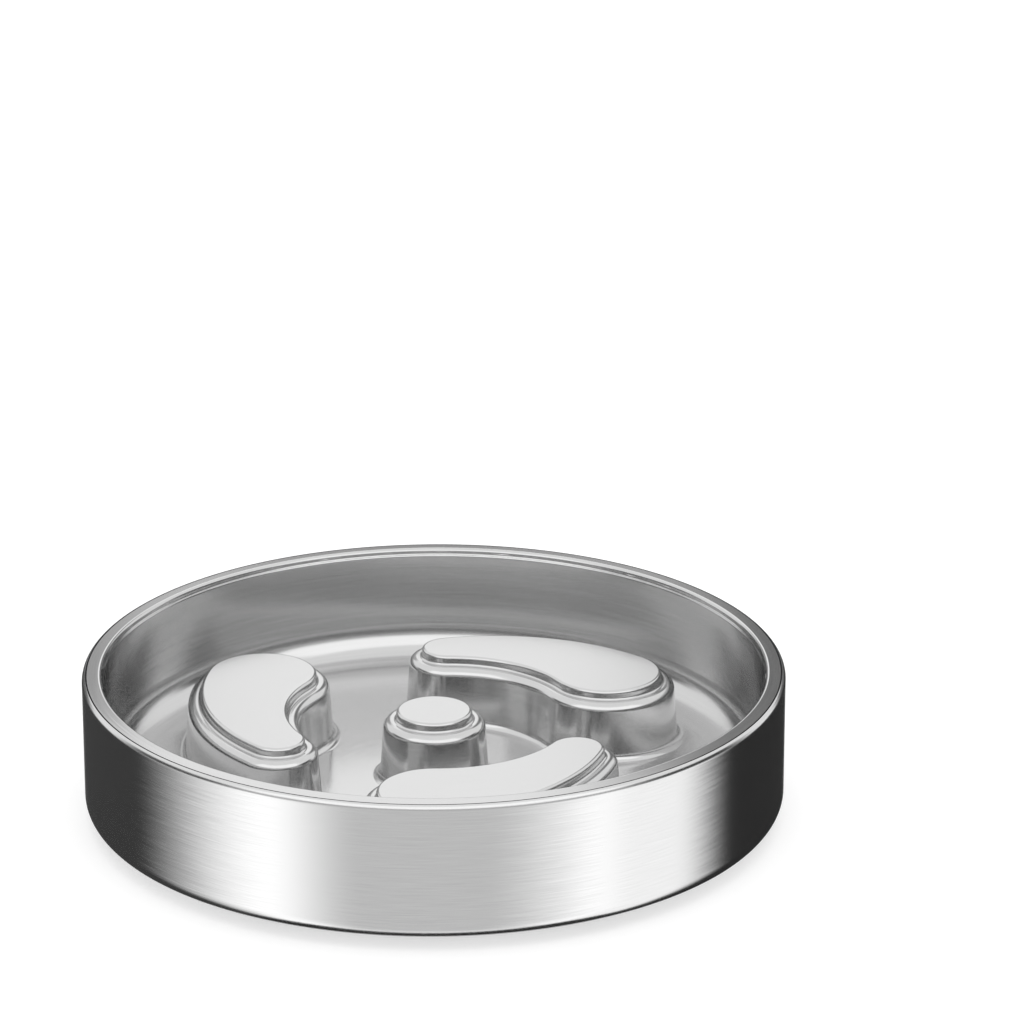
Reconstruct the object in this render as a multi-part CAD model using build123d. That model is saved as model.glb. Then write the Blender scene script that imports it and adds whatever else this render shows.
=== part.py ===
from build123d import *
import math
import os

# Slow feeder dog bowl: a double-walled stainless steel bowl, with raised islands pressed into its
# liner for the dog to eat round, and a grooved rubber ring under it. Sizes are millimetres.
# The origin is the centre of the ring's resting face, and +Z is up.

# Steel body
body_diameter = 250.0
body_height = 50.0
sheet = 0.8
lap_gap = 0.1
seam_gap = 0.25

# Outer shell: rolled in at the top to carry the liner, and at the bottom to meet the base
shoulder_bend = 0.8
shoulder_sweep = 60.0
ledge_gap = 0.7
corner_bend = 3.8
lip_sweep = 47.0

# Liner
rim_width = 7.6
rim_bead = 1.2
lip_step = 0.6
lip_rise = 0.8
lip_depth = 1.9
lip_bend = 1.0
floor_height = 8.0
floor_radius = 12.0

# Pressed islands: a head and a tail lobe, joined by a long crown outside and a waist inside
island_count = 3
island_angle = 149.8
island_span = 55.1
head_gap = 25.1
head_radius = 19.9
tail_gap = 46.6
tail_radius = 9.8
crown_radius = 79.5
waist_radius = 46.0
dome_radius = 13.6

# Tiers that every island and the centre dome share
plateau_height = 33.0
tier_drop = 3.5
tier_step = 4.5
crest_radius = 1.2
cove_radius = 1.0
brow_radius = 3.0
draft_angle = 4.0
foot_radius = 3.0

# Base pan, with a channel for the ring
annulus_width = 7.5
channel_width = 21.0
channel_depth = 2.5
channel_bend = 0.3
joggle_sweep = 8.0
base_flange = 3.5

# Rubber foot ring and the adhesive ring that holds it
foot_stand = 3.5
ring_gap = 1.0
ring_edge_radius = 0.6
groove_count = 18
groove_width = 3.0
groove_depth = 1.8
adhesive_thickness = 0.4
adhesive_inset = 1.0

# Worked out
body_radius = body_diameter / 2
mouth_radius = body_radius - rim_width
lip_radius = mouth_radius + lip_step
head_reach = mouth_radius - head_gap - head_radius
tail_reach = mouth_radius - tail_gap - tail_radius
base_z = foot_stand
rim_z = base_z + body_height
floor_z = base_z + floor_height
plateau_z = base_z + plateau_height
tier_z = plateau_z - tier_drop
shoulder_radius = shoulder_bend + 2 * sheet + lap_gap
corner_radius = corner_bend + 2 * sheet + lap_gap
channel_z = base_z + channel_depth
channel_radius = body_radius - corner_radius - annulus_width
disc_radius = channel_radius - channel_width
ring_inner = disc_radius + ring_gap
ring_outer = channel_radius - ring_gap
ring_top = channel_z - adhesive_thickness

# How near two edges lie to count as the same one
match = 0.01


def polar(radius, degrees):
    return Vector(radius * math.cos(math.radians(degrees)), radius * math.sin(math.radians(degrees)))


def arc(centre, radius, start, sweep):
    """An arc about a centre, by its start angle and how far it turns."""
    return ThreePointArc(*[centre + polar(radius, start + sweep * part) for part in (0, 0.5, 1)])


def band(centre, inner, outer, start, sweep):
    """A face between two arcs about one centre."""
    outside = arc(centre, outer, start, sweep)
    inside = arc(centre, inner, start, sweep)
    return make_face([outside, Line(outside @ 1, inside @ 1), inside, Line(inside @ 0, outside @ 0)])


def strip(inner, outer, low, high):
    """A rectangle in the (radius, height) plane."""
    return Pos((inner + outer) / 2, (low + high) / 2) * Rectangle(outer - inner, high - low)


def folded(points, radii, shift):
    """A bent sheet: one face follows the points, and the other lies to their left by shift."""
    corners = [Vector(*point) for point in points]
    runs = [(end - start).normalized() for start, end in zip(corners, corners[1:])]
    sides = [Vector(-run.Y, run.X) * shift for run in runs]
    others = [corners[0] + sides[0]]
    bends = []
    for before, after, corner, radius in zip(sides, sides[1:], corners[1:], radii):
        others.append(corner + (before + after) * (shift**2 / (shift**2 + before.dot(after))))
        turn = before.cross(after).Z
        bends.append(radius - math.copysign(1, turn) * shift)
    others.append(corners[-1] + sides[-1])
    near = FilletPolyline(*corners, radius=radii)
    far = FilletPolyline(*others, radius=bends)
    ends = [Line(near @ 1, far @ 1), Line(far @ 0, near @ 0)]
    return make_face(near.edges() + far.edges() + ends)


def turned(profile):
    """Revolve a (radius, height) profile about the bowl's axis."""
    return revolve(Plane.XZ * profile, Axis.Z)


def meeting(first, first_radius, second, second_radius):
    """The point at these distances from two centres, on the side towards the bowl's centre."""
    line = second - first
    along = (first_radius**2 - second_radius**2 + line.length**2) / (2 * line.length)
    across = math.sqrt(first_radius**2 - along**2)
    unit = line.normalized()
    return first + unit * along + Vector(-unit.Y, unit.X) * across


def heading(start, end):
    """The angle of the direction from one point to another."""
    return math.degrees(math.atan2(end.Y - start.Y, end.X - start.X))


def kidney(offset):
    """An island's outline, grown by an offset: four arcs that run into each other."""
    head = polar(head_reach, island_angle)
    tail = polar(tail_reach, island_angle + island_span)
    crown = meeting(head, crown_radius - head_radius, tail, crown_radius - tail_radius)
    waist = meeting(head, waist_radius + head_radius, tail, waist_radius + tail_radius)
    crown_start = heading(crown, head)
    crown_end = heading(crown, tail)
    tail_end = heading(tail, waist)
    head_start = heading(head, waist)
    waist_start = heading(waist, tail)
    waist_end = heading(waist, head)
    return make_face([
        arc(crown, crown_radius + offset, crown_start, (crown_end - crown_start) % 360),
        arc(tail, tail_radius + offset, crown_end, (tail_end - crown_end) % 360),
        arc(waist, waist_radius - offset, waist_start, -((waist_start - waist_end) % 360)),
        arc(head, head_radius + offset, head_start, (crown_start - head_start) % 360),
    ])


def disc(offset):
    """The centre dome's outline, grown by an offset."""
    return Circle(dome_radius + offset)


def level(shape, height):
    """The edges of a shape that lie flat at a height."""
    return shape.edges().filter_by_position(Axis.Z, height - match, height + match)


def pressed(outline, inset):
    """A two-tier island, or, with its surface set in, the hollow under it."""
    top_z = plateau_z - inset
    step_z = tier_z - inset
    foot_z = floor_z - sheet / 2 - inset
    lower = extrude(Pos(0, 0, step_z) * outline(tier_step - inset), foot_z - step_z, taper=-draft_angle)
    lower = fillet(level(lower, step_z), brow_radius - inset)
    upper = extrude(Pos(0, 0, step_z) * outline(-inset), top_z - step_z)
    upper = fillet(level(upper, top_z), crest_radius - inset)
    island = lower + upper
    root = [edge.center() for edge in level(upper, step_z)]
    cove = [
        edge
        for edge in level(island, step_z)
        if any((edge.center() - point).length < match for point in root)
    ]
    return fillet(cove, cove_radius + inset)


def inner_bowl():
    """The liner: a drawn tray with a rim flange, then the islands and the hollows under them."""
    shell_end = (shoulder_radius - sheet) / math.tan(math.radians(shoulder_sweep))
    flange_radius = body_radius - shoulder_radius + shell_end - seam_gap
    tray = folded(
        [
            (0, floor_z),
            (mouth_radius, floor_z),
            (mouth_radius, rim_z - lip_depth - lip_rise),
            (lip_radius, rim_z - lip_depth),
            (lip_radius, rim_z),
            (flange_radius, rim_z),
        ],
        [floor_radius, lip_bend, lip_bend, rim_bead],
        -sheet,
    )
    bowl = turned(tray)
    island = pressed(kidney, 0)
    hollow = pressed(kidney, sheet)
    for turn in range(island_count):
        place = Rot(0, 0, 360 / island_count * turn)
        bowl = bowl + place * island - place * hollow
    bowl = bowl + pressed(disc, 0) - pressed(disc, sheet)
    for face_z, radius in [(floor_z, foot_radius), (floor_z - sheet, foot_radius + sheet)]:
        rings = level(bowl, face_z).sort_by(SortBy.LENGTH)
        bowl = fillet(rings[:-1], radius)
    return bowl


def outer_shell():
    """The wall, from the rolled lip at its foot to the ledge that carries the liner's flange."""
    shoulder = Vector(body_radius - shoulder_radius, rim_z - shoulder_radius)
    corner = Vector(body_radius - corner_radius, base_z + corner_radius)
    joggle = shoulder_sweep - joggle_sweep
    ledge_bend = shoulder_bend + sheet
    ledge_top = shoulder.Y + ledge_bend
    ledge_inner = lip_radius + sheet + ledge_gap
    return turned(Sketch() + [
        band(corner, corner_radius - sheet, corner_radius, -lip_sweep, lip_sweep),
        strip(body_radius - sheet, body_radius, corner.Y, shoulder.Y),
        band(shoulder, shoulder_radius - sheet, shoulder_radius, 0, shoulder_sweep),
        band(shoulder, shoulder_bend, shoulder_radius, joggle, joggle_sweep),
        band(shoulder, shoulder_bend, ledge_bend, joggle, 90 - joggle),
        strip(ledge_inner, shoulder.X, ledge_top - sheet, ledge_top),
    ])


def base_plate():
    """The pan that closes the bottom: a flat disc, the ring's channel, a rounded edge and a flange."""
    corner = Vector(body_radius - corner_radius, base_z + corner_radius)
    outer_bend = channel_bend + sheet
    pan = folded(
        [
            (0, base_z),
            (disc_radius, base_z),
            (disc_radius, channel_z),
            (channel_radius, channel_z),
            (channel_radius, base_z),
            (corner.X, base_z),
        ],
        [outer_bend, channel_bend, channel_bend, outer_bend],
        sheet,
    )
    seam = math.degrees(seam_gap / corner_radius)
    sweep = 90 - lip_sweep - seam
    flange_bend = corner_bend + sheet
    return turned(Sketch() + [
        pan,
        band(corner, corner_radius - sheet, corner_radius, -90, sweep),
        band(corner, corner_bend, corner_radius, sweep - 90 - joggle_sweep, joggle_sweep),
        band(corner, corner_bend, flange_bend, sweep - 90 - joggle_sweep, 90 - sweep + joggle_sweep),
        strip(corner.X + corner_bend, corner.X + flange_bend, corner.Y, corner.Y + base_flange),
    ])


def foot_ring():
    """The rubber ring, with radial grooves across its resting face."""
    section = strip(ring_inner, ring_outer, 0, ring_top)
    section = fillet(section.vertices().group_by(Axis.Y)[0], ring_edge_radius)
    ring = turned(section)
    ring_middle = (ring_inner + ring_outer) / 2
    groove = Pos(ring_middle, 0, 0) * Box(2 * channel_width, groove_width, 2 * groove_depth)
    pitch = 360 / groove_count
    for turn in range(groove_count):
        ring = ring - Rot(0, 0, pitch * (turn + 0.5)) * groove
    return ring


def foot_adhesive():
    """The thin ring of adhesive that bonds the rubber into its channel."""
    return turned(strip(ring_inner + adhesive_inset, ring_outer - adhesive_inset, ring_top, channel_z))


os.makedirs("parts", exist_ok=True)
for piece in [inner_bowl, outer_shell, base_plate, foot_ring, foot_adhesive]:
    export_step(piece(), f"parts/{piece.__name__}.step")
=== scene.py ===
# %% [markdown]
# A slow feeder dog bowl in stainless steel. The liner and the outer wall are two pressed sheets
# that meet at the rim, a spun pan closes the bottom, and a grooved rubber ring stands under it.
# The frame gives every piece its place, so this script makes only the finished surfaces: smooth
# sheets that a highlight can run over, the grain of each metal, and the light of a small studio.

# %% Load the frame
import math

import bmesh
import bpy
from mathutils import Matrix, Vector


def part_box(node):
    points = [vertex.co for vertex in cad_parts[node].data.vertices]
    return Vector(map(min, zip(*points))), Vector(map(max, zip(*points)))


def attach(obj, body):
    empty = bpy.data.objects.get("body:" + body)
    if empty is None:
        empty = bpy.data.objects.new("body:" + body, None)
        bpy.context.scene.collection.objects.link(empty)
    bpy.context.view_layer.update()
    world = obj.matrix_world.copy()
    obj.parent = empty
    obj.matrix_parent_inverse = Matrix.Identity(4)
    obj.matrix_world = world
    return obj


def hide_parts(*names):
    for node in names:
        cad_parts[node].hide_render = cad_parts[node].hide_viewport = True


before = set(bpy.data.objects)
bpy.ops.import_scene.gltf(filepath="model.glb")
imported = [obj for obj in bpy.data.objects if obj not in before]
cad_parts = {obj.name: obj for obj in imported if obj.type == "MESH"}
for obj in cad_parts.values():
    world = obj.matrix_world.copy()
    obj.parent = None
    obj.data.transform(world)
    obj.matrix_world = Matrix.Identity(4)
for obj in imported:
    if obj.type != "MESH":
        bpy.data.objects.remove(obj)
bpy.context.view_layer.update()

# %% [markdown]
# The solids could be shaded as they are, but they are made of small flat facets, and polished steel
# shows every one. So the sheets are drawn again from the bends that a toolmaker would write down.
# Their places come from the frame: how wide the body is, how high the rim, where the pan starts.
# Only the radii of the bends and the plan of the islands are stated here, in millimetres.

# %% Sizes read from the frame
mm = 0.001
shell_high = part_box("outer_shell")[1]
liner_low, liner_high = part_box("inner_bowl")
pan_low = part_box("base_plate")[0]
ring_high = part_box("foot_ring")[1]

body_radius = shell_high.x
flange_radius = liner_high.x
rim_z = liner_high.z
base_z = pan_low.z
ring_outer = ring_high.x
ring_top = ring_high.z
print("body", round(body_radius / mm, 2), "rim", round(rim_z / mm, 2),
      "base", round(base_z / mm, 2))

# %% Sheet and bends
sheet = 0.8 * mm
lap_gap = 0.1 * mm
shoulder_bend = 0.8 * mm
corner_bend = 3.8 * mm
rim_width = 7.6 * mm
lip_step = 0.6 * mm
# How far the sheet turns, in degrees
shoulder_sweep = 60
lip_sweep = 47
joggle_sweep = 8

floor_z = liner_low.z + sheet
mouth_radius = body_radius - rim_width
lip_radius = mouth_radius + lip_step
shoulder_radius = shoulder_bend + 2 * sheet + lap_gap
corner_radius = corner_bend + 2 * sheet + lap_gap
print("mouth", round(mouth_radius / mm, 2), "floor", round(floor_z / mm, 2),
      "shoulder", round(shoulder_radius / mm, 2), "corner", round(corner_radius / mm, 2))

# %% [markdown]
# A bent sheet is a line with rounded corners. A Bevel modifier could round a finished mesh, but its
# radius depends on the faces beside it. Here one helper rounds the corners of a list of points, and
# leaves a guard point close to each end of a bend. Without it, the flat beside a bend would share
# the bend's first normal, and a mirror-like steel shows that as a false gradient.

# %% Draw a line with rounded corners
guard = 0.25 * mm
bend_step = math.radians(9)


def arc_points(centre, radius, start, end):
    """Points on an arc in the (out, up) plane, by its angles in radians."""
    steps = max(2, math.ceil(abs(end - start) / bend_step))
    angles = [start + (end - start) * i / steps for i in range(steps + 1)]
    return [centre + Vector((math.cos(a), math.sin(a))) * radius for a in angles]


def rounded(corners, radii):
    """The corners joined by straight runs, with each inner corner rounded to its radius."""
    points = [Vector(c) for c in corners]
    line = [points[0]]
    for before, corner, after, radius in zip(points, points[1:], points[2:], radii):
        back = (before - corner).normalized()
        on = (after - corner).normalized()
        half = back.angle(on) / 2
        centre = corner + (back + on).normalized() * (radius / math.sin(half))
        first = corner + back * (radius / math.tan(half))
        last = corner + on * (radius / math.tan(half))
        start = math.atan2(first.y - centre.y, first.x - centre.x)
        turn = (math.pi - 2 * half) * math.copysign(1, -back.cross(on))
        line.append(first + back * guard)
        line += arc_points(centre, radius, start, start + turn)
        line.append(last + on * guard)
    return line + [points[-1]]


print("a square corner takes", len(arc_points(Vector((0, 0)), sheet, 0, math.pi / 2)), "points")

# %% [markdown]
# The outer wall, the pan and the liner's edge are turned parts, the same all the way round. The
# Spin tool could turn them, but a Geometry Nodes tree keeps the number of steps and the material
# as inputs. It sweeps the section along a circle. A swept section keeps its first axis outwards
# and its second axis down, which is why the section is drawn upside down.

# %% Add a node, and start and end a tree
def add(tree, kind, inputs=(), **settings):
    """Adds a node. The inputs are values or other nodes' outputs, each by its socket's name."""
    node = tree.nodes.new(kind)
    for name, value in settings.items():
        setattr(node, name, value)
    for name, value in dict(inputs).items():
        if isinstance(value, bpy.types.NodeSocket):
            tree.links.new(value, node.inputs[name])
        else:
            node.inputs[name].default_value = value
    return node


def new_tree(name, sockets):
    """A Geometry Nodes tree with a mesh in and out, and the named inputs that are asked for."""
    tree = bpy.data.node_groups.new(name, "GeometryNodeTree")
    tree.interface.new_socket("Mesh", in_out="INPUT", socket_type="NodeSocketGeometry")
    for socket, kind in sockets.items():
        tree.interface.new_socket(socket, in_out="INPUT", socket_type="NodeSocket" + kind)
    tree.interface.new_socket("Mesh", in_out="OUTPUT", socket_type="NodeSocketGeometry")
    return tree, add(tree, "NodeGroupInput")


def close_tree(tree, mesh, material):
    """Every tree ends alike: smooth faces, real geometry and a material."""
    smooth = add(tree, "GeometryNodeSetShadeSmooth", {"Geometry": mesh})
    real = add(tree, "GeometryNodeRealizeInstances", {"Geometry": smooth.outputs[0]})
    painted = add(tree, "GeometryNodeSetMaterial",
                  {"Geometry": real.outputs[0], "Material": material})
    add(tree, "NodeGroupOutput", {"Mesh": painted.outputs[0]})


# %% Turn a section round the bowl's axis
weld = 0.004 * mm
hub = 1 * mm
round_steps = 256


def turning_tree():
    """Sweeps a section along a small circle, the hub, and welds the points that meet."""
    sockets = {"Segments": "Int", "Hub": "Float", "Weld": "Float", "Material": "Material"}
    tree, given = new_tree("turned sheet", sockets)
    circle = add(tree, "GeometryNodeCurvePrimitiveCircle",
                 {"Resolution": given.outputs["Segments"], "Radius": given.outputs["Hub"]})
    upright = add(tree, "GeometryNodeSetCurveNormal", {"Curve": circle.outputs[0]}, mode="Z_UP")
    section = add(tree, "GeometryNodeMeshToCurve", {"Mesh": given.outputs["Mesh"]})
    back = add(tree, "ShaderNodeMath", {0: given.outputs["Hub"], 1: -1.0}, operation="MULTIPLY")
    shift = add(tree, "ShaderNodeCombineXYZ", {"X": back.outputs[0]})
    moved = add(tree, "GeometryNodeTransform",
                {"Geometry": section.outputs[0], "Translation": shift.outputs[0]})
    swept = add(tree, "GeometryNodeCurveToMesh",
                {"Curve": upright.outputs[0], "Profile Curve": moved.outputs[0],
                 "Fill Caps": False})
    merged = add(tree, "GeometryNodeMergeByDistance",
                 {"Geometry": swept.outputs[0], "Distance": given.outputs["Weld"]})
    close_tree(tree, merged.outputs[0], given.outputs["Material"])
    return tree


turning = turning_tree()
print("turning tree", len(turning.nodes), "nodes")


# %% Make an object, and give it what a modifier makes
def placed(name, data):
    """A new object at the origin of the scene."""
    drawn = bpy.data.objects.new(name, data)
    bpy.context.scene.collection.objects.link(drawn)
    return drawn


def mesh_object(name, places, edges, faces):
    mesh = bpy.data.meshes.new(name)
    mesh.from_pydata(places, edges, faces)
    return placed(name, mesh)


def section_object(name, points):
    """A chain of edges through the points, drawn upside down for the sweep."""
    edges = [(i, i + 1) for i in range(len(points) - 1)]
    return mesh_object(name, [(p.x, -p.y, 0) for p in points], edges, [])


def applied(drawn, modifier):
    """The object with the mesh that its modifier makes, and without the modifier."""
    graph = bpy.context.evaluated_depsgraph_get()
    mesh = bpy.data.meshes.new_from_object(drawn.evaluated_get(graph))
    drawn.modifiers.remove(modifier)
    drawn.data = mesh
    return drawn


def baked(drawn, tree, inputs):
    """Runs the tree on an object. A modifier's inputs go by each socket's identifier."""
    modifier = drawn.modifiers.new(tree.name, "NODES")
    modifier.node_group = tree
    for socket in tree.interface.items_tree:
        if socket.in_out == "INPUT" and socket.name in inputs:
            modifier[socket.identifier] = inputs[socket.name]
    return applied(drawn, modifier)


# %% [markdown]
# A skin has no thickness yet. Its faces are first turned the same way, then Solidify gives it the
# sheet's 0.8 mm behind the face that shows, so the outside stays where the frame has it. Drawing
# both faces of the sheet by hand would work too, but then every bend has to be stated twice.

# %% Give a skin its thickness
crease = math.radians(35)


def face_towards(mesh, direction_of):
    """Turns all faces the same way, so that the largest one looks where direction_of says."""
    work = bmesh.new()
    work.from_mesh(mesh)
    bmesh.ops.recalc_face_normals(work, faces=work.faces)
    largest = max(work.faces, key=lambda face: face.calc_area())
    if largest.normal.dot(direction_of(largest.calc_center_median())) < 0:
        bmesh.ops.reverse_faces(work, faces=work.faces)
    work.to_mesh(mesh)
    work.free()


def thickened(drawn, thickness):
    """The skin with the sheet's thickness behind it."""
    solid = drawn.modifiers.new("sheet", "SOLIDIFY")
    solid.thickness = thickness
    solid.offset = -1
    applied(drawn, solid)
    drawn.data.set_sharp_from_angle(angle=crease)


def outwards(place):
    return Vector((place.x, place.y, 0))


def upwards(place):
    return Vector((0, 0, 1))


def downwards(place):
    return Vector((0, 0, -1))


# %% [markdown]
# Every colour is written as the hex value that a colour picker shows, and one function turns it to
# the linear light that a shader works in. Wear and grain come from noise, whose values crowd about
# the middle, so they are stretched to the range that a finish needs.

# %% Colours and noise
noise_low, noise_high = 0.3, 0.7
# A Mix node repeats its input names for every kind of value, so its two colours go by number.
first_colour, second_colour = 6, 7


def linear(hex_colour):
    """An sRGB hex colour as linear light."""
    parts = [int(hex_colour[i:i + 2], 16) / 255 for i in (1, 3, 5)]
    return [p / 12.92 if p <= 0.04045 else ((p + 0.055) / 1.055) ** 2.4 for p in parts] + [1]


def new_material(name):
    material = bpy.data.materials.new(name)
    material.use_nodes = True
    material.node_tree.nodes.clear()
    return material


def stretched(tree, noise, low, high):
    """A noise value that runs from low to high."""
    return add(tree, "ShaderNodeMapRange",
               {"Value": noise, "From Min": noise_low, "From Max": noise_high,
                "To Min": low, "To Max": high}).outputs[0]


def two_tone(tree, noise, dark_hex, light_hex):
    """A colour that wanders between two others."""
    return add(tree, "ShaderNodeMix",
               {0: stretched(tree, noise, 0, 1), first_colour: linear(dark_hex),
                second_colour: linear(light_hex)}, data_type="RGBA").outputs[2]


white = linear("#ffffff")
print("mid grey is", round(linear("#808080")[0], 3), "in linear light")

# %% [markdown]
# A belt or a pad brushes the steel while the bowl turns, so the grain runs round the axis. A
# texture wrapped round the wall would show a seam. Instead the place is read in two ways at once:
# the direction from the axis changes slowly along a stroke, and the height and the radius change
# fast across it. That has no seam, and it works on the wall, the rim and the flat pan alike.

# %% Grain of brushed steel
def strokes(tree, spacing, turns, detail=2.0):
    """Grain strokes round the axis: their spacing in metres, and how many follow in a turn."""
    place = add(tree, "ShaderNodeTexCoord").outputs["Object"]
    flat = add(tree, "ShaderNodeVectorMath", {0: place, 1: (1, 1, 0)},
               operation="MULTIPLY").outputs[0]
    heading = add(tree, "ShaderNodeVectorMath", {0: flat}, operation="NORMALIZE").outputs[0]
    along = add(tree, "ShaderNodeVectorMath", {0: heading, "Scale": turns / (2 * math.pi)},
                operation="SCALE").outputs[0]
    radius = add(tree, "ShaderNodeVectorMath", {0: flat}, operation="LENGTH").outputs["Value"]
    height = add(tree, "ShaderNodeSeparateXYZ", {0: place}).outputs["Z"]
    across = add(tree, "ShaderNodeMath", {0: radius, 1: 1 / spacing},
                 operation="MULTIPLY").outputs[0]
    layers = add(tree, "ShaderNodeMath", {0: height, 1: 1 / spacing},
                 operation="MULTIPLY").outputs[0]
    lift = add(tree, "ShaderNodeCombineXYZ", {"Z": across}).outputs[0]
    where = add(tree, "ShaderNodeVectorMath", {0: along, 1: lift}, operation="ADD").outputs[0]
    noise = add(tree, "ShaderNodeTexNoise",
                {"Vector": where, "W": layers, "Scale": 1.0, "Detail": detail, "Roughness": 0.6},
                noise_dimensions="4D")
    return noise.outputs["Fac"]


def leaned(tree, tangent, noise, lean):
    """The surface's normal, leaned to and fro along the strokes by up to lean radians."""
    normal = add(tree, "ShaderNodeNewGeometry").outputs["Normal"]
    side = add(tree, "ShaderNodeVectorMath",
               {0: tangent, "Scale": stretched(tree, noise, -lean, lean)},
               operation="SCALE").outputs[0]
    return add(tree, "ShaderNodeVectorMath", {0: normal, 1: side}, operation="ADD").outputs[0]


# %% Brushed steel
finer = 3
shorter = 2.5
quarter_turn = 0.25


def brushed_steel(name, light_hex, dark_hex, smooth, rough, spacing, turns, depth, anisotropy,
                  lean):
    """Stainless steel brushed round the axis. Each stroke tilts the surface a little, which breaks
    a band of light into streaks, and the anisotropy draws the shine out across the strokes."""
    material = new_material(name)
    tree = material.node_tree
    broad = strokes(tree, spacing, turns)
    fine = strokes(tree, spacing / finer, turns * shorter, detail=1.0)
    tangent = add(tree, "ShaderNodeTangent", direction_type="RADIAL", axis="Z").outputs[0]
    bump = add(tree, "ShaderNodeBump", {"Strength": 1.0, "Distance": depth, "Height": fine,
                                        "Normal": leaned(tree, tangent, broad, lean)})
    steel = add(tree, "ShaderNodeBsdfPrincipled",
                {"Base Color": two_tone(tree, broad, dark_hex, light_hex),
                 "Roughness": stretched(tree, broad, smooth, rough), "Metallic": 1.0,
                 "Anisotropic": anisotropy, "Anisotropic Rotation": quarter_turn,
                 "Tangent": tangent, "Normal": bump.outputs[0]})
    add(tree, "ShaderNodeOutputMaterial", {"Surface": steel.outputs[0]})
    return material


def seam_shade_steel():
    """Sheet that no belt has reached, dull, and painted nearly black as the shade inside the seam
    gap.
    Beside the bright rim this painted shade gives the eye the thin dark line of the seam."""
    patch = 1.5 * mm
    material = new_material("unpolished steel seam with painted shade")
    tree = material.node_tree
    place = add(tree, "ShaderNodeTexCoord").outputs["Object"]
    seam_mottle = add(tree, "ShaderNodeTexNoise", {"Vector": place, "Scale": 1 / patch}).outputs["Fac"]
    steel = add(tree, "ShaderNodeBsdfPrincipled",
                # Painted shade: both tones are nearly black and stand in for the shade inside the
                # seam gap.
                {"Base Color": two_tone(tree, seam_mottle, "#2e2e30", "#3c3c3f"),
                 "Roughness": stretched(tree, seam_mottle, 0.55, 0.7), "Metallic": 1.0})
    add(tree, "ShaderNodeOutputMaterial", {"Surface": steel.outputs[0]})
    return material


# %% [markdown]
# The outer wall. It is one strip of sheet: a lip rolled in at the foot, a straight wall, a rolled
# shoulder, and a ledge one sheet lower that carries the liner's flange. The joggle between the
# shoulder and the ledge is what leaves the thin dark seam line round the rim. A plain cylinder
# would be quicker, but the rolled foot and shoulder are what catch the light at the wall's ends.

# %% Section of the outer wall
ledge_gap = 0.7 * mm


def shell_section():
    """From the lip at the foot, up the wall and over the shoulder, to the ledge's inner edge."""
    foot = Vector((body_radius - corner_radius, base_z + corner_radius))
    shoulder = Vector((body_radius - shoulder_radius, rim_z - shoulder_radius))
    lip = math.radians(lip_sweep)
    turn = math.radians(shoulder_sweep)
    ledge_bend = shoulder_bend + sheet
    ledge_inner = lip_radius + sheet + ledge_gap
    points = arc_points(foot, corner_radius, -lip, 0)
    points += [points[-1] + Vector((0, guard))]
    rise = arc_points(shoulder, shoulder_radius, 0, turn)
    points += [rise[0] - Vector((0, guard))] + rise
    points += arc_points(shoulder, ledge_bend, turn + math.radians(joggle_sweep), math.pi / 2)
    return points + [Vector((ledge_inner, shoulder.y + ledge_bend))]


print("wall section", len(shell_section()), "points")

# %% Outer wall
# A belt leaves strokes of 0.05 to 0.1 mm. Those are too fine to show, so they are drawn at 0.22 mm.
# To the eye the wall is a soft mirror: what it reflects is drawn out into upright bands, and fine
# streaks run across them.
wall_steel = brushed_steel("belt brushed stainless steel wall", "#dddddd", "#d3d3d3",
                           smooth=0.15, rough=0.20, spacing=0.22 * mm, turns=45,
                           depth=0.001 * mm, anisotropy=0.7, lean=0.022)
turned = {"Segments": round_steps, "Hub": hub, "Weld": weld}
wall = baked(section_object("outer_wall", shell_section()), turning,
             {**turned, "Material": wall_steel})
face_towards(wall.data, outwards)
thickened(wall, sheet)

# The steel inside the shoulder's end, near the rim, lies in the seam and stays unpolished.
# # Its colour is painted nearly black, as the shade inside the seam gap.
wall.data.materials.append(seam_shade_steel())
seam_margin = 0.05 * mm
shoulder_reach = shoulder_radius * (1 - math.cos(math.radians(shoulder_sweep)))
shoulder_end = body_radius - shoulder_reach - seam_margin
seam_low = rim_z - 2 * sheet
for face in wall.data.polygons:
    if outwards(face.center).length < shoulder_end and face.center.z > seam_low:
        face.material_index = 1
print("outer wall", len(wall.data.polygons), "faces")

# %% [markdown]
# The pan under the bowl. It is spun on a lathe, so its grain is fine rings about the centre. A flat
# disc would hide the channel that holds the rubber, so the skin is drawn as it is bent, from the
# centre outwards: the disc, the channel, the flat annulus and the rounded edge up to the seam.

# %% Section of the base pan
channel_bend = 0.3 * mm
outer_bend = channel_bend + sheet
channel_width = 21 * mm
adhesive_thickness = 0.4 * mm
ring_gap = 1 * mm
channel_z = ring_top + adhesive_thickness
channel_radius = ring_outer + ring_gap
disc_radius = channel_radius - channel_width
seam = 0.25 * mm


def pan_section():
    """From the centre of the disc to the flange inside the wall."""
    edge = Vector((body_radius - corner_radius, base_z + corner_radius))
    corners = [(0, base_z), (disc_radius, base_z), (disc_radius, channel_z),
               (channel_radius, channel_z), (channel_radius, base_z), (edge.x - guard, base_z)]
    line = rounded(corners, [outer_bend, channel_bend, channel_bend, outer_bend])
    stop = -math.radians(lip_sweep) - seam / corner_radius
    line += arc_points(edge, corner_radius, -math.pi / 2, stop)
    return line + arc_points(edge, corner_bend + sheet, stop + math.radians(joggle_sweep), 0)


print("pan section", len(pan_section()), "points, disc radius", round(disc_radius / mm, 2))

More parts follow.
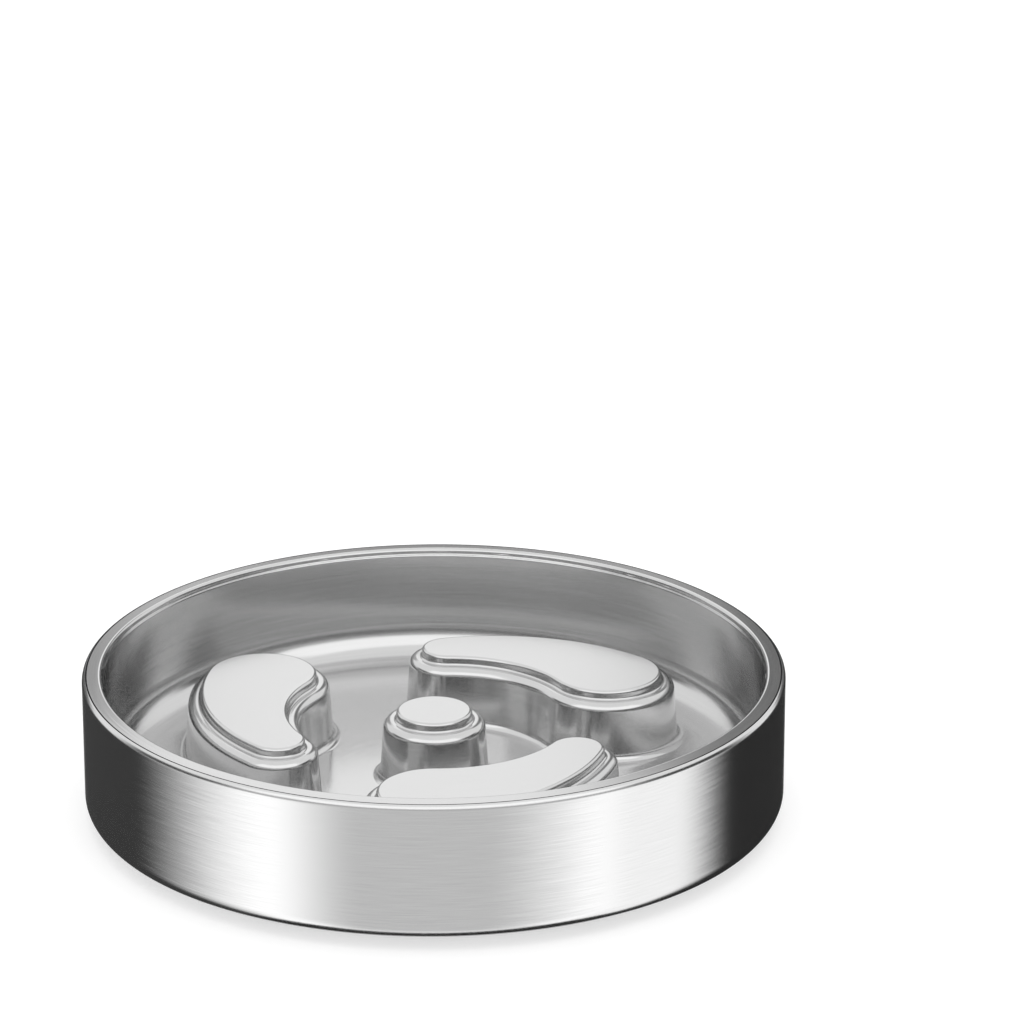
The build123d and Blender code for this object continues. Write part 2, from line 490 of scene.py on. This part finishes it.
# %% Base pan
# A pad held against the turning pan leaves rings of 0.1 to 0.2 mm, drawn here at 0.5 mm so that
# they show. They are deeper and duller than the wall's, which gives the eye a silky grey disc.
pan_steel = brushed_steel("spun brushed stainless steel pan", "#e0e0e0", "#c2c2c2",
                          smooth=0.20, rough=0.36, spacing=0.5 * mm, turns=9,
                          depth=0.006 * mm, anisotropy=0.8, lean=0.03)
pan = baked(section_object("pan", pan_section()), turning, {**turned, "Material": pan_steel})
face_towards(pan.data, downwards)
thickened(pan, sheet)
print("pan", len(pan.data.polygons), "faces")

# %% [markdown]
# The liner is the main piece. Each island is a kidney in plan: four arcs that run into each other,
# a head, a tail, a long crown outside and a waist inside. A sculpted or subdivided shape would
# only come near it. Moving an arc outwards only lengthens its radius, so the wall of an island can
# be made by formula, and its curves stay true all the way down.

# %% Plan of an island
island_count = 3
island_angle = math.radians(149.8)
island_span = math.radians(55.1)
head_gap = 25.1 * mm
head_radius = 19.9 * mm
tail_gap = 46.6 * mm
tail_radius = 9.8 * mm
crown_radius = 79.5 * mm
waist_radius = 46 * mm
dome_radius = 13.6 * mm
arc_step = math.radians(3)
dome_steps = 120


def polar(radius, angle):
    return Vector((math.cos(angle), math.sin(angle))) * radius


def meeting(first, first_radius, second, second_radius):
    """The point at these distances from two centres, on the side of the bowl's centre."""
    line = second - first
    along = (first_radius ** 2 - second_radius ** 2 + line.length ** 2) / (2 * line.length)
    across = math.sqrt(first_radius ** 2 - along ** 2)
    unit = line.normalized()
    return first + unit * along + Vector((-unit.y, unit.x)) * across


def angle_to(start, end):
    return math.atan2(end.y - start.y, end.x - start.x)


def kidney():
    """Stations round the outline: a centre, a direction, a radius and how an offset counts."""
    head = polar(mouth_radius - head_gap - head_radius, island_angle)
    tail = polar(mouth_radius - tail_gap - tail_radius, island_angle + island_span)
    crown = meeting(head, crown_radius - head_radius, tail, crown_radius - tail_radius)
    waist = meeting(head, waist_radius + head_radius, tail, waist_radius + tail_radius)
    full = 2 * math.pi
    arcs = [(crown, crown_radius, angle_to(crown, head), angle_to(crown, tail), 1),
            (tail, tail_radius, angle_to(crown, tail), angle_to(tail, waist), 1),
            (waist, waist_radius, angle_to(waist, tail), angle_to(waist, head), -1),
            (head, head_radius, angle_to(head, waist), angle_to(crown, head), 1)]
    stations = []
    for centre, radius, start, end, side in arcs:
        turn = (end - start) % full if side > 0 else -((start - end) % full)
        steps = math.ceil(abs(turn) / arc_step)
        for i in range(steps):
            stations.append((centre, polar(1, start + turn * i / steps), radius, side))
    return stations


def circle():
    """Stations round the dome in the middle."""
    middle = Vector((0, 0))
    angles = [2 * math.pi * i / dome_steps for i in range(dome_steps)]
    return [(middle, polar(1, angle), dome_radius, 1) for angle in angles]


print("kidney", len(kidney()), "stations, dome", len(circle()))

# %% [markdown]
# The press draws each island in two tiers. A crest, a tight cove, a broad brow and a foot bend are
# what the light picks out, so they are not left to a modifier: one section, from the plateau down
# to the floor, stands at every station of the outline.

# %% Section of a pressed tier
plateau_height = 33 * mm
tier_drop = 3.5 * mm
plateau_z = base_z + plateau_height
tier_z = plateau_z - tier_drop
tier_step = 4.5 * mm
crest = 1.2 * mm
cove = 1.0 * mm
brow = 3.0 * mm
foot_bend = 3 * mm
draft = math.radians(4)


def tier_section():
    """From the plateau, over the crest, down to the tier and on to the floor: (outwards, up)."""
    base = tier_step + (tier_z - floor_z) * math.tan(draft)
    corners = [(-crest - 2 * guard, plateau_z), (0, plateau_z), (0, tier_z), (tier_step, tier_z),
               (base, floor_z), (base + foot_bend + guard, floor_z)]
    return rounded(corners, [crest, cove, brow, foot_bend])


def pressed_wall(name, stations):
    """The wall of an island: its section at every station of the outline."""
    section = tier_section()
    places = []
    for centre, direction, radius, side in stations:
        for point in section:
            spot = centre + direction * (radius + side * point.x)
            places.append((spot.x, spot.y, point.y))
    wide = len(section)
    faces = []
    for i in range(len(stations)):
        for j in range(wide - 1):
            here = i * wide + j
            there = (here + wide) % len(places)
            faces.append((here, here + 1, there + 1, there))
    print(name, len(stations), "stations by", wide, "section points")
    return mesh_object(name, places, [], faces)


island = pressed_wall("island", kidney())
dome = pressed_wall("dome", circle())

# %% [markdown]
# The edge of the liner is turned like the other parts: a wide bend up from the floor, the drawn
# wall, a small step, the bright bead and the rim, down to the sheet's edge at the seam. The rim
# could be left flat, but a real one falls a few degrees outwards, and its shine changes with that.

# %% Edge of the liner
floor_bend = 12 * mm
lip_rise = 0.8 * mm
lip_depth = 1.9 * mm
lip_bend = 1.0 * mm
rim_bead = 1.2 * mm
rim_fall = math.radians(5)


def tray_section():
    """From the floor, up the wall and over the bead, to the flange's edge. The bead's highest point
    stays at the rim's height, so the corner that it rounds lies a little above."""
    peak_z = rim_z + rim_bead * (math.tan(rim_fall) + 1 / math.cos(rim_fall) - 1)
    seam_z = peak_z - (flange_radius - lip_radius) * math.tan(rim_fall)
    corners = [(mouth_radius - floor_bend - 2 * guard, floor_z), (mouth_radius, floor_z),
               (mouth_radius, rim_z - lip_depth - lip_rise), (lip_radius, rim_z - lip_depth),
               (lip_radius, peak_z), (flange_radius, seam_z)]
    return rounded(corners, [floor_bend, lip_bend, lip_bend, rim_bead])


edge = section_object("liner_edge", tray_section())
print("liner edge", len(edge.data.vertices), "section points")

# %% [markdown]
# A second tree presses the liner together. It turns one island into three, joins the dome and the
# edge, and finds the open loops that are left at the floor and at the plateaus. Boolean cuts could
# join them too, but they leave slivers that show in steel. Fill Curve closes the loops flat, with
# holes where the islands stand, and a merge welds the skins into one sheet.

# %% Copy a piece round the axis, and fill the open loops
level_slack = 0.05 * mm


def set_round(tree, mesh, count):
    """Copies of a mesh at even steps round the axis, as real geometry."""
    spots = add(tree, "GeometryNodePoints", {"Count": count})
    index = add(tree, "GeometryNodeInputIndex").outputs[0]
    pitch = add(tree, "ShaderNodeMath", {0: 2 * math.pi, 1: count}, operation="DIVIDE")
    turn = add(tree, "ShaderNodeMath", {0: index, 1: pitch.outputs[0]}, operation="MULTIPLY")
    spin = add(tree, "ShaderNodeCombineXYZ", {"Z": turn.outputs[0]})
    copies = add(tree, "GeometryNodeInstanceOnPoints",
                 {"Points": spots.outputs[0], "Instance": mesh, "Rotation": spin.outputs[0]})
    return add(tree, "GeometryNodeRealizeInstances", {"Geometry": copies.outputs[0]}).outputs[0]


def filled_loops(tree, walls, height):
    """The open edges of the walls at a height, filled flat at that height."""
    count = add(tree, "GeometryNodeInputMeshEdgeNeighbors").outputs["Face Count"]
    is_open = add(tree, "FunctionNodeCompare", {2: count, 3: 1}, data_type="INT", operation="EQUAL")
    place = add(tree, "GeometryNodeInputPosition").outputs[0]
    up = add(tree, "ShaderNodeSeparateXYZ", {0: place}).outputs["Z"]
    is_level = add(tree, "FunctionNodeCompare", {0: up, 1: height, "Epsilon": level_slack},
                   data_type="FLOAT", operation="EQUAL")
    both = add(tree, "FunctionNodeBooleanMath", {0: is_open.outputs[0], 1: is_level.outputs[0]},
               operation="AND")
    loops = add(tree, "GeometryNodeMeshToCurve", {"Mesh": walls, "Selection": both.outputs[0]})
    filled = add(tree, "GeometryNodeFillCurve", {"Curve": loops.outputs[0]}, mode="TRIANGLES")
    lift = add(tree, "ShaderNodeCombineXYZ", {"Z": height}).outputs[0]
    return add(tree, "GeometryNodeTransform",
               {"Geometry": filled.outputs[0], "Translation": lift}).outputs[0]


# %% Press the liner together
def pressing_tree():
    """One island in, the whole skin of the liner out."""
    sockets = {"Islands": "Int", "Dome": "Object", "Edge": "Object", "Floor": "Float",
               "Plateau": "Float", "Weld": "Float", "Material": "Material"}
    tree, given = new_tree("pressed liner", sockets)
    islands = set_round(tree, given.outputs["Mesh"], given.outputs["Islands"])
    middle = add(tree, "GeometryNodeObjectInfo", {"Object": given.outputs["Dome"]})
    outside = add(tree, "GeometryNodeObjectInfo", {"Object": given.outputs["Edge"]})
    walls = add(tree, "GeometryNodeJoinGeometry")
    for part in (islands, middle.outputs["Geometry"], outside.outputs["Geometry"]):
        tree.links.new(part, walls.inputs[0])
    skin = add(tree, "GeometryNodeJoinGeometry")
    tree.links.new(walls.outputs[0], skin.inputs[0])
    for level in ("Floor", "Plateau"):
        flat = filled_loops(tree, walls.outputs[0], given.outputs[level])
        tree.links.new(flat, skin.inputs[0])
    merged = add(tree, "GeometryNodeMergeByDistance",
                 {"Geometry": skin.outputs[0], "Distance": given.outputs["Weld"]})
    close_tree(tree, merged.outputs[0], given.outputs["Material"])
    return tree


# The press leaves the liner even and satin, with hardly a stroke in it: a soft, clear mirror. The
# rim is the edge of the same sheet, and has the same finish. Its faint grain, 0.1 mm on a real
# sheet, is drawn at 0.6 mm so that it shows at all.
liner_steel = brushed_steel("pressed satin stainless steel liner", "#d3d3d3", "#cfcfcf",
                            smooth=0.15, rough=0.19, spacing=0.6 * mm, turns=20,
                            depth=0.001 * mm, anisotropy=0.2, lean=0.004)
baked(edge, turning, {**turned, "Material": liner_steel})
liner = baked(island, pressing_tree(),
              {"Islands": island_count, "Dome": dome, "Edge": edge, "Floor": floor_z,
               "Plateau": plateau_z, "Weld": weld, "Material": liner_steel})
liner.name = "liner"
for used in (dome, edge):
    bpy.data.objects.remove(used)
face_towards(liner.data, upwards)

skin = bmesh.new()
skin.from_mesh(liner.data)
rim_edges = [e for e in skin.edges if e.is_boundary]
print("liner skin", len(liner.data.polygons), "faces,", len(rim_edges), "open edges at the rim")
skin.free()
thickened(liner, sheet)

# %% [markdown]
# The rubber ring. Its resting face is cut by straight grooves, eighteen of them. Boolean cuts would
# leave sharp edges, and moulded rubber has soft ones. So one pad with half a groove on each side is
# drawn once, and a third tree sets it round the circle. The groove's sides are parallel to its
# middle line, so at a smaller radius they take a wider angle.

# %% Section of the rubber ring
groove_count = 18
groove_half = 1.5 * mm
groove_depth = 1.8 * mm
soft_edge = 0.45 * mm
ring_inner = disc_radius + ring_gap
ring_edge = 0.6 * mm
pad_steps = 12
edge_steps = 5


def ring_section():
    """The ring's cross-section, with a point on each side where the grooves' floor meets it."""
    corners = [(ring_inner, ring_top), (ring_inner, 0), (ring_outer, 0), (ring_outer, ring_top)]
    line = rounded(corners, [ring_edge, ring_edge])
    inside = Vector((ring_inner, groove_depth))
    outside = Vector((ring_outer, groove_depth))
    return [line[0], inside] + line[1:-1] + [outside, line[-1]]


def pad_stations():
    """Where the section stands: how far from the groove's middle, and how high its face is."""
    stations = [(away, groove_depth) for away in (0, groove_half - soft_edge, groove_half)]
    for i in range(edge_steps + 1):
        lean = math.pi / 2 * i / edge_steps
        stations.append((groove_half + soft_edge * (1 - math.cos(lean)),
                         soft_edge * (1 - math.sin(lean))))
    return stations


print("ring section", len(ring_section()), "points,", len(pad_stations()), "stations at a groove")


# %% One pad of the rubber ring
def pad_mesh():
    """From the middle of one groove, over the pad's face, to the middle of the next."""
    section = ring_section()
    half_pitch = math.pi / groove_count
    rows = []
    for away, height in pad_stations():
        rows.append([(math.asin(away / p.x) - half_pitch, height) for p in section])
    middle = []
    for i in range(1, pad_steps):
        share = 2 * i / pad_steps
        middle.append([(angle * (1 - share), 0) for angle, height in rows[-1]])
    mirrored = [[(-angle, height) for angle, height in row] for row in reversed(rows)]
    places = []
    for row in rows + middle + mirrored:
        for (angle, height), point in zip(row, section):
            spot = polar(point.x, angle)
            places.append((spot.x, spot.y, max(point.y, height)))
    wide = len(section)
    faces = []
    for i in range(len(places) // wide - 1):
        here, there = i * wide, (i + 1) * wide
        for j in range(wide):
            k = (j + 1) % wide
            faces.append((here + j, here + k, there + k, there + j))
    mesh = bpy.data.meshes.new("pad")
    mesh.from_pydata(places, [], faces)
    return mesh


ring = placed("rubber_ring", pad_mesh())
print("one pad", len(ring.data.polygons), "faces")


# %% Set the pads round the circle
def ring_tree():
    """One pad in, the whole grooved ring out."""
    sockets = {"Pads": "Int", "Weld": "Float", "Material": "Material"}
    tree, given = new_tree("grooved ring", sockets)
    pads = set_round(tree, given.outputs["Mesh"], given.outputs["Pads"])
    merged = add(tree, "GeometryNodeMergeByDistance",
                 {"Geometry": pads, "Distance": given.outputs["Weld"]})
    close_tree(tree, merged.outputs[0], given.outputs["Material"])
    return tree


def moulded_rubber():
    """Dark grey rubber from a spark-eroded mould. To the eye it is matt, with pale and dark specks.
    A real mould's grain is 0.05 to 0.2 mm, and 0.6 mm is the finest that shows."""
    grain = 0.6 * mm
    material = new_material("eroded grey moulded rubber")
    tree = material.node_tree
    place = add(tree, "ShaderNodeTexCoord").outputs["Object"]
    speckle = add(tree, "ShaderNodeTexNoise",
                  {"Vector": place, "Scale": 1 / grain, "Detail": 2.0, "Roughness": 0.8})
    specks = speckle.outputs["Fac"]
    bump = add(tree, "ShaderNodeBump",
               {"Strength": 1.0, "Distance": 0.05 * mm, "Height": specks})
    rubber = add(tree, "ShaderNodeBsdfPrincipled",
                 {"Base Color": two_tone(tree, specks, "#252629", "#adaeb3"),
                  "Roughness": stretched(tree, specks, 0.78, 0.6), "Metallic": 0.0,
                  "Normal": bump.outputs[0]})
    add(tree, "ShaderNodeOutputMaterial", {"Surface": rubber.outputs[0]})
    return material


baked(ring, ring_tree(), {"Pads": groove_count, "Weld": weld, "Material": moulded_rubber()})
face_towards(ring.data, downwards)
ring.data.set_sharp_from_angle(angle=crease)
print("rubber ring", len(ring.data.polygons), "faces")

# %% [markdown]
# The adhesive ring is hidden between the rubber and the pan. It could be drawn again, but its solid
# has the right shape and no one sees a highlight on it, so it only gets a finish.

# %% Adhesive film
def transfer_film():
    """Transfer tape without a carrier: milky and half glossy, a little cloudy where air is left."""
    cloud = 6 * mm
    material = new_material("milky adhesive transfer film")
    tree = material.node_tree
    place = add(tree, "ShaderNodeTexCoord").outputs["Object"]
    air = add(tree, "ShaderNodeTexNoise", {"Vector": place, "Scale": 1 / cloud}).outputs["Fac"]
    film = add(tree, "ShaderNodeBsdfPrincipled",
               {"Base Color": two_tone(tree, air, "#d9d6cb", "#e8e6df"),
                "Roughness": stretched(tree, air, 0.35, 0.5), "Metallic": 0.0})
    add(tree, "ShaderNodeOutputMaterial", {"Surface": film.outputs[0]})
    return material


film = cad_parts["foot_adhesive"]
film.data.materials.clear()
film.data.materials.append(transfer_film())
print("adhesive film", film.data.materials[0].name)

# %% [markdown]
# A bowl has nothing that moves, so the frame has one body. Each finished piece rides on it, and
# # the node of the frame that it stands for is hidden. The adhesive ring is a node already, and
# # rides by itself.

# %% Hand the pieces to the frame
for piece, node, slot in [(liner, "inner_bowl", "liner_steel"),
                          (wall, "outer_shell", "shell_steel"),
                          (pan, "base_plate", "base_steel"), (ring, "foot_ring", "rubber")]:
    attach(piece, "root")
    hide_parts(node)
    print(piece.name, "triangles", sum(len(p.vertices) - 2 for p in piece.data.polygons))

# %% [markdown]
# The camera is where the photograph was taken from: far off, with a long lens, a little above. A
# wide lens close by would make the near wall too tall and the far rim too small. Its place, tilt
# and lens are those at which a rim and a foot of this size fall where the photograph has them.

# %% Camera
camera_place = (0, -1.682310, 0.729432)
camera_dip = math.radians(20.168)
camera_swing = math.radians(0.94475)

camera = placed("camera", bpy.data.cameras.new("camera"))
camera.location = camera_place
camera.rotation_euler = (math.pi / 2 - camera_dip, 0, -camera_swing)
camera.data.sensor_width = 36
camera.data.lens = 179.11
camera.data.clip_end = 20
bpy.context.scene.camera = camera
print("camera", round(Vector(camera_place).length, 2), "m away, lens", camera.data.lens, "mm")

# %% [markdown]
# The studio. The floor and the world are white to the camera, and the floor still takes the bowl's
# soft shadow. A real floor would also show in the wall's foot. This one is hidden from
# reflections, which the world and the cards make alone. It lies a hair below the rubber, and it is
# clear on its underside, so that a look from below finds the pan and not a white sheet.

# %% Floor and world
floor_reach = 4
floor_top = -0.05 * mm


def white_floor():
    """White paper: pale to the lamp, with a glow of its own that lifts it to plain white."""
    material = new_material("white sweep")
    tree = material.node_tree
    paper = add(tree, "ShaderNodeBsdfDiffuse", {"Color": linear("#c8c8c8")})
    glow = add(tree, "ShaderNodeEmission", {"Color": white, "Strength": 0.5})
    both = add(tree, "ShaderNodeAddShader", {0: paper.outputs[0], 1: glow.outputs[0]})
    below = add(tree, "ShaderNodeNewGeometry").outputs["Backfacing"]
    clear = add(tree, "ShaderNodeBsdfTransparent")
    seen = add(tree, "ShaderNodeMixShader", {0: below, 1: both.outputs[0], 2: clear.outputs[0]})
    add(tree, "ShaderNodeOutputMaterial", {"Surface": seen.outputs[0]})
    return material


def flat_sheet(name, corners, height, material):
    """A level sheet through the corners, for the studio alone."""
    places = [(x, y, height) for x, y in corners]
    drawn = mesh_object(name, places, [], [tuple(range(len(corners)))])
    drawn.data.materials.append(material)
    return drawn


floor = flat_sheet("floor", [(-floor_reach, -floor_reach), (floor_reach, -floor_reach),
                             (floor_reach, floor_reach), (-floor_reach, floor_reach)],
                   floor_top, white_floor())
floor.visible_glossy = False

world = bpy.data.worlds.new("studio")
world.use_nodes = True
world.node_tree.nodes.clear()
bpy.context.scene.world = world
sky = add(world.node_tree, "ShaderNodeBackground", {"Color": white, "Strength": 1.0})
add(world.node_tree, "ShaderNodeOutputWorld", {"Surface": sky.outputs[0]})
print("floor", 2 * floor_reach, "m wide")

# %% [markdown]
# Polished metal has no colour of its own to show, so what stands round it matters more than the
# lamps. Lamps alone would leave the wall an even grey. A photographer sets black flags and white
# cards about a steel bowl, and so does this studio: the flags at both sides give the wall its dark
# flanks, and a bright card beside each gives the light band next to it. The nearest card is listed
# first.

# %% Cards and their tones
deep = -1.8
# Each card's name, the azimuth of both ends and how softly each fades, in degrees, the height of
# both ends in metres, and the tone
cards = [("black flag left", -168, -51, 9, 57, deep, 0.05, 0.052),
         ("lamp strip right", 38, 64, 14, 12, deep, 0.05, 1.44),
         ("black flag right", 80, 168, 27, 9, deep, 0.05, 0.030),
         ("white card left", -110, -22, 10, 32, deep, 0.05, 1.52),
         ("white card right", 14, 130, 36, 10, deep, 0.05, 1.29),
         ("tall flag right", 50, 118, 25, 20, -0.4, 0.66, 0.06),
         ("tall flag left", -118, -52, 20, 25, -0.4, 0.62, 0.10),
         ("narrow flag right", 150, 176, 10, 9, -0.4, 1.0, 0.19),
         ("narrow flag left", -174.5, -150, 9, 10, -0.4, 0.76, 0.36),
         ("grey card in front", -80, 80, 10, 10, deep, 0.15, 0.71),
         ("dim card in front", -80, 80, 10, 10, -0.2, 0.60, 0.54),
         ("grey card behind", 150, 210, 10, 10, deep, 0.05, 0.60),
         ("low flag behind", 130, 230, 10, 10, deep, 0.42, 0.14),
         ("bright card behind", 150, 210, 10, 10, -0.2, 1.3, 1.17),
         ("bright card above", -75, 75, 15, 15, 0.3, 2.4, 1.36)]
card_distance = 1.0
card_spacing = 0.03
card_fade = 0.15
card_steps = 24


def card_material(name, half, start_soft, end_soft, high, tone):
    """An even tone that fades out over the card's edges, so no hard line shows in the steel."""
    material = new_material(name)
    tree = material.node_tree
    place = add(tree, "ShaderNodeTexCoord").outputs["Object"]
    axes = add(tree, "ShaderNodeSeparateXYZ", {0: place})
    front = add(tree, "ShaderNodeMath", {0: axes.outputs["Y"], 1: -1.0},
                operation="MULTIPLY").outputs[0]
    angle = add(tree, "ShaderNodeMath", {0: axes.outputs["X"], 1: front},
                operation="ARCTAN2").outputs[0]
    fades = []
    for value, edge_at, full_at in [(angle, -half, start_soft - half),
                                    (angle, half, half - end_soft),
                                    (axes.outputs["Z"], high, high - card_fade)]:
        fades.append(add(tree, "ShaderNodeMapRange",
                         {"Value": value, "From Min": edge_at, "From Max": full_at},
                         interpolation_type="SMOOTHSTEP").outputs[0])
    sides = add(tree, "ShaderNodeMath", {0: fades[0], 1: fades[1]}, operation="MULTIPLY").outputs[0]
    cover = add(tree, "ShaderNodeMath", {0: sides, 1: fades[2]}, operation="MULTIPLY").outputs[0]
    clear = add(tree, "ShaderNodeBsdfTransparent")
    glow = add(tree, "ShaderNodeEmission", {"Color": white, "Strength": tone})
    mixed = add(tree, "ShaderNodeMixShader", {0: cover, 1: clear.outputs[0], 2: glow.outputs[0]})
    add(tree, "ShaderNodeOutputMaterial", {"Surface": mixed.outputs[0]})
    return material


tones = [facts[-1] for facts in cards]
print("card tones from", min(tones), "to", max(tones))


# %% Stand the cards round the bowl
def only_reflected(drawn):
    """Leaves a card to the reflections alone, so that it takes no light from the floor."""
    drawn.visible_camera = False
    drawn.visible_diffuse = False
    drawn.visible_shadow = False
    drawn.visible_transmission = False


def card(name, start, end, start_soft, end_soft, low, high, tone, distance):
    """A card bent round the bowl."""
    half = math.radians((end - start) / 2)
    places = []
    for i in range(card_steps + 1):
        angle = half * (2 * i / card_steps - 1)
        for height in (low, high):
            places.append((distance * math.sin(angle), -distance * math.cos(angle), height))
    faces = [(2 * i, 2 * i + 2, 2 * i + 3, 2 * i + 1) for i in range(card_steps)]
    drawn = mesh_object(name, places, [], faces)
    drawn.rotation_euler.z = math.radians((start + end) / 2)
    drawn.data.materials.append(card_material(name, half, math.radians(start_soft),
                                              math.radians(end_soft), high, tone))
    only_reflected(drawn)


for number, facts in enumerate(cards):
    card(*facts, card_distance + card_spacing * number)
print(len(cards), "cards, the nearest", card_distance, "m away")

# %% [markdown]
# Two sheets under the bowl finish the reflections. The rolled foot of the wall shows as a thin dark
# line, so a black card lies far below it. The pan would reflect that card too, and a look from
# below would find it black, so half-clear glowing paper lies close under its flat steel.

# %% Black card and paper under the bowl
black_tone = 0.03
paper_tone = 1.15
paper_cover = 0.6
paper_margin = 0.5 * mm
paper_inset = 1 * mm
paper_steps = 96


def black_card():
    material = new_material("black card below")
    tree = material.node_tree
    dull = add(tree, "ShaderNodeEmission", {"Color": white, "Strength": black_tone})
    add(tree, "ShaderNodeOutputMaterial", {"Surface": dull.outputs[0]})
    return material


def glowing_paper():
    """Half-clear under the pan's disc and its outer annulus, and nothing under the rubber."""
    material = new_material("white paper under the pan")
    tree = material.node_tree
    place = add(tree, "ShaderNodeTexCoord").outputs["Object"]
    radius = add(tree, "ShaderNodeVectorMath", {0: place}, operation="LENGTH").outputs["Value"]
    disc = add(tree, "ShaderNodeMath", {0: radius, 1: disc_radius - paper_margin},
               operation="LESS_THAN").outputs[0]
    annulus = add(tree, "ShaderNodeMath", {0: radius, 1: channel_radius + paper_margin},
                  operation="GREATER_THAN").outputs[0]
    steel = add(tree, "ShaderNodeMath", {0: disc, 1: annulus}, operation="ADD").outputs[0]
    cover = add(tree, "ShaderNodeMath", {0: steel, 1: paper_cover}, operation="MULTIPLY").outputs[0]
    clear = add(tree, "ShaderNodeBsdfTransparent")
    glow = add(tree, "ShaderNodeEmission", {"Color": white, "Strength": paper_tone})
    mixed = add(tree, "ShaderNodeMixShader", {0: cover, 1: clear.outputs[0], 2: glow.outputs[0]})
    add(tree, "ShaderNodeOutputMaterial", {"Surface": mixed.outputs[0]})
    return material


under = flat_sheet("card_below", [(-1.1, -0.55), (1.1, -0.55), (1.1, 1.1), (-1.1, 1.1)], deep,
                   black_card())
only_reflected(under)
paper_radius = body_radius - corner_radius - paper_inset
paper_edge = [polar(paper_radius, 2 * math.pi * i / paper_steps) for i in range(paper_steps)]
paper = flat_sheet("paper_below", paper_edge, floor_top, glowing_paper())
only_reflected(paper)
print("paper", round(2 * paper_radius / mm, 1), "mm wide")

# %% [markdown]
# One large lamp from above gives the soft shadow and a plain level of light. Several small ones
# would give several shadows. The steel would show the lamp as a hard white square, so reflections
# don't see it. The Standard view shows a colour as it is written.

# %% Lamp and view
lamp_place = Vector((0, 0.1, 1.6))
lamp_aim = Vector((0, 0, 0))
lamp_size = 1.6
lamp_power = 6

light = bpy.data.lights.new("overhead", "AREA")
light.shape = "RECTANGLE"
light.size = light.size_y = lamp_size
light.energy = lamp_power
overhead = placed("overhead", light)
overhead.location = lamp_place
overhead.rotation_euler = (lamp_aim - lamp_place).to_track_quat("-Z", "Y").to_euler()
overhead.visible_glossy = False

bpy.context.scene.view_settings.view_transform = "Standard"
print("lamp", lamp_power, "W,", lamp_size, "m wide")
